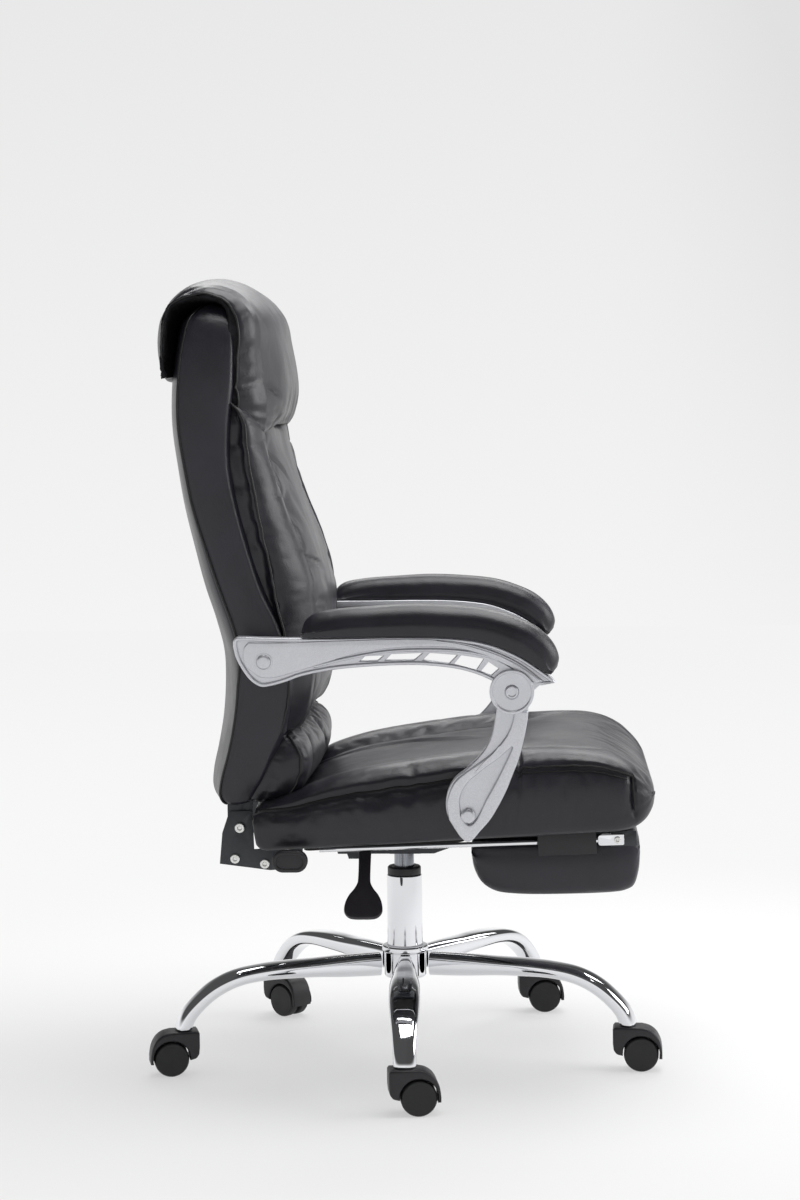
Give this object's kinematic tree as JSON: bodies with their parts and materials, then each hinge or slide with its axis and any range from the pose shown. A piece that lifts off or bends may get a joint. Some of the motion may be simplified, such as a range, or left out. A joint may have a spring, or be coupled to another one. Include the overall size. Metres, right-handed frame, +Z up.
{
  "type": "reclining office chair",
  "caption": "High-backed black office recliner with polished star base, silver linked arms, draped head pillow and a slide-out footrest that turns over.",
  "frame": {"origin": "middle of the underside of the bounding box, on the floor", "axes": "+X the way the sitter faces, +Y the sitter's left, +Z up"},
  "size_m": [0.7136, 0.6616, 1.0989],
  "materials": {
    "leather": "soft sheen, fine grain",
    "silver": "satin silver",
    "chrome": "mirror polished",
    "zinc": "zinc plated",
    "paint": "dark powder coat",
    "plastic": "fine matt texture",
    "board": "black sealed plywood"
  },
  "bodies": {
    "base": {"base_hub": "chrome", "base_leg_1": "chrome", "base_leg_2": "chrome", "base_leg_3": "chrome", "base_leg_4": "chrome", "base_leg_5": "chrome", "column_tube": "chrome", "column_collar": "plastic"},
    "caster_1": {"caster_hood_1": "plastic"},
    "caster_2": {"caster_hood_2": "plastic"},
    "caster_3": {"caster_hood_3": "plastic"},
    "caster_4": {"caster_hood_4": "plastic"},
    "caster_5": {"caster_hood_5": "plastic"},
    "wheels_1": {"caster_wheels_1": "plastic"},
    "wheels_2": {"caster_wheels_2": "plastic"},
    "wheels_3": {"caster_wheels_3": "plastic"},
    "wheels_4": {"caster_wheels_4": "plastic"},
    "wheels_5": {"caster_wheels_5": "plastic"},
    "lift_column": {"gas_piston": "chrome"},
    "seat": {"control_box": "paint", "seat_board": "board", "seat_cushion": "leather", "recline_bracket_right": "paint", "recline_bracket_left": "paint", "recline_bolt_right": "zinc", "recline_bolt_left": "zinc", "link_pin_right": "silver", "link_pin_left": "silver", "rail_sleeve_right": "plastic", "rail_sleeve_left": "plastic"},
    "lever": {"lift_lever": "plastic"},
    "handle": {"recline_handle": "plastic", "recline_rod": "zinc"},
    "backrest": {"back_body": "leather", "back_pad": "leather", "lumbar_roll": "leather", "headrest_pillow": "leather", "back_hinge_plate_right": "paint", "back_hinge_plate_left": "paint", "arm_pin_right": "silver", "arm_pin_left": "silver"},
    "arm_right": {"arm_frame_right": "silver", "arm_pad_right": "leather"},
    "link_right": {"arm_link_right": "silver", "joint_disc_right": "silver"},
    "arm_left": {"arm_frame_left": "silver", "arm_pad_left": "leather"},
    "link_left": {"arm_link_left": "silver", "joint_disc_left": "silver"},
    "footrest_rails": {"footrest_rail_right": "chrome", "footrest_rail_left": "chrome", "footrest_bolt_right": "zinc", "footrest_bolt_left": "zinc"},
    "footrest": {"footrest_board": "paint", "footrest_pad": "leather"}
  },
  "joints": [
    {"name": "caster_swivel_1", "type": "hinge", "parent": "base", "child": "caster_1", "pos_m": [0.01005, -0.30938, 0.024], "axis": [0, 0, 1], "continuous": true},
    {"name": "wheel_roll_1", "type": "hinge", "parent": "caster_1", "child": "wheels_1", "pos_m": [0.02689, -0.30701, 0.024], "axis": [-0.1392, 0.9903, 0], "continuous": true},
    {"name": "caster_swivel_2", "type": "hinge", "parent": "base", "child": "caster_2", "pos_m": [0.30988, -0.07258, 0.024], "axis": [0, 0, 1], "continuous": true},
    {"name": "wheel_roll_2", "type": "hinge", "parent": "caster_2", "child": "wheels_2", "pos_m": [0.32686, -0.07347, 0.024], "axis": [0.0523, 0.9986, 0], "continuous": true},
    {"name": "caster_swivel_3", "type": "hinge", "parent": "base", "child": "caster_3", "pos_m": [0.17733, 0.28575, 0.024], "axis": [0, 0, 1], "continuous": true},
    {"name": "wheel_roll_3", "type": "hinge", "parent": "caster_3", "child": "wheels_3", "pos_m": [0.19427, 0.28723, 0.024], "axis": [-0.0872, 0.9962, 0], "continuous": true},
    {"name": "caster_swivel_4", "type": "hinge", "parent": "base", "child": "caster_4", "pos_m": [-0.20442, 0.27041, 0.024], "axis": [0, 0, 1], "continuous": true},
    {"name": "wheel_roll_4", "type": "hinge", "parent": "caster_4", "child": "wheels_4", "pos_m": [-0.19159, 0.25926, 0.024], "axis": [0.6561, 0.7547, 0], "continuous": true},
    {"name": "caster_swivel_5", "type": "hinge", "parent": "base", "child": "caster_5", "pos_m": [-0.30781, -0.09739, 0.024], "axis": [0, 0, 1], "continuous": true},
    {"name": "wheel_roll_5", "type": "hinge", "parent": "caster_5", "child": "wheels_5", "pos_m": [-0.32437, -0.10122, 0.024], "axis": [0.225, -0.9744, 0], "continuous": true},
    {"name": "seat_height", "type": "slide", "parent": "base", "child": "lift_column", "axis": [0, 0, 1], "range_m": [0, 0.08]},
    {"name": "seat_swivel", "type": "hinge", "parent": "lift_column", "child": "seat", "pos_m": [-0.00299, 0.01536, 0.3], "axis": [0, 0, 1], "continuous": true},
    {"name": "lift_lever_turn", "type": "hinge", "parent": "seat", "child": "lever", "pos_m": [-0.05099, -0.04714, 0.3125], "axis": [-1, 0, 0], "range_deg": [0, 8]},
    {"name": "recline", "type": "hinge", "parent": "seat", "child": "backrest", "pos_m": [-0.21399, 0.01536, 0.358], "axis": [0, -1, 0], "range_deg": [0, 40]},
    {"name": "recline_handle_turn", "type": "hinge", "parent": "seat", "child": "handle", "pos_m": [-0.14999, 0.01536, 0.324], "axis": [0, -1, 0], "range_deg": [0, 15]},
    {"name": "arm_turn_right", "type": "hinge", "parent": "backrest", "child": "arm_right", "pos_m": [-0.16899, -0.26604, 0.591], "axis": [0, -1, 0], "range_deg": [-40, 0]},
    {"name": "link_turn_right", "type": "hinge", "parent": "seat", "child": "link_right", "pos_m": [0.09501, -0.24864, 0.385], "axis": [0, -1, 0], "range_deg": [0, 55]},
    {"name": "arm_turn_left", "type": "hinge", "parent": "backrest", "child": "arm_left", "pos_m": [-0.16899, 0.29676, 0.591], "axis": [0, -1, 0], "range_deg": [-40, 0]},
    {"name": "link_turn_left", "type": "hinge", "parent": "seat", "child": "link_left", "pos_m": [0.09501, 0.27936, 0.385], "axis": [0, -1, 0], "range_deg": [0, 55]},
    {"name": "footrest_slide", "type": "slide", "parent": "seat", "child": "footrest_rails", "axis": [0.9995, 0, 0.0305], "range_m": [0, 0.22]},
    {"name": "footrest_flip", "type": "hinge", "parent": "footrest_rails", "child": "footrest", "pos_m": [0.29256, 0.01536, 0.33916], "axis": [0, -1, 0], "range_deg": [0, 181]}
  ],
  "couplings": [
    {"joint": "arm_turn_right", "follows": "recline", "ratio": -0.963},
    {"joint": "link_turn_right", "follows": "recline", "ratio": 1.35},
    {"joint": "arm_turn_left", "follows": "recline", "ratio": -0.963},
    {"joint": "link_turn_left", "follows": "recline", "ratio": 1.35},
    {"joint": "footrest_flip", "follows": "footrest_slide", "rad_per_m": 14.28}
  ]
}
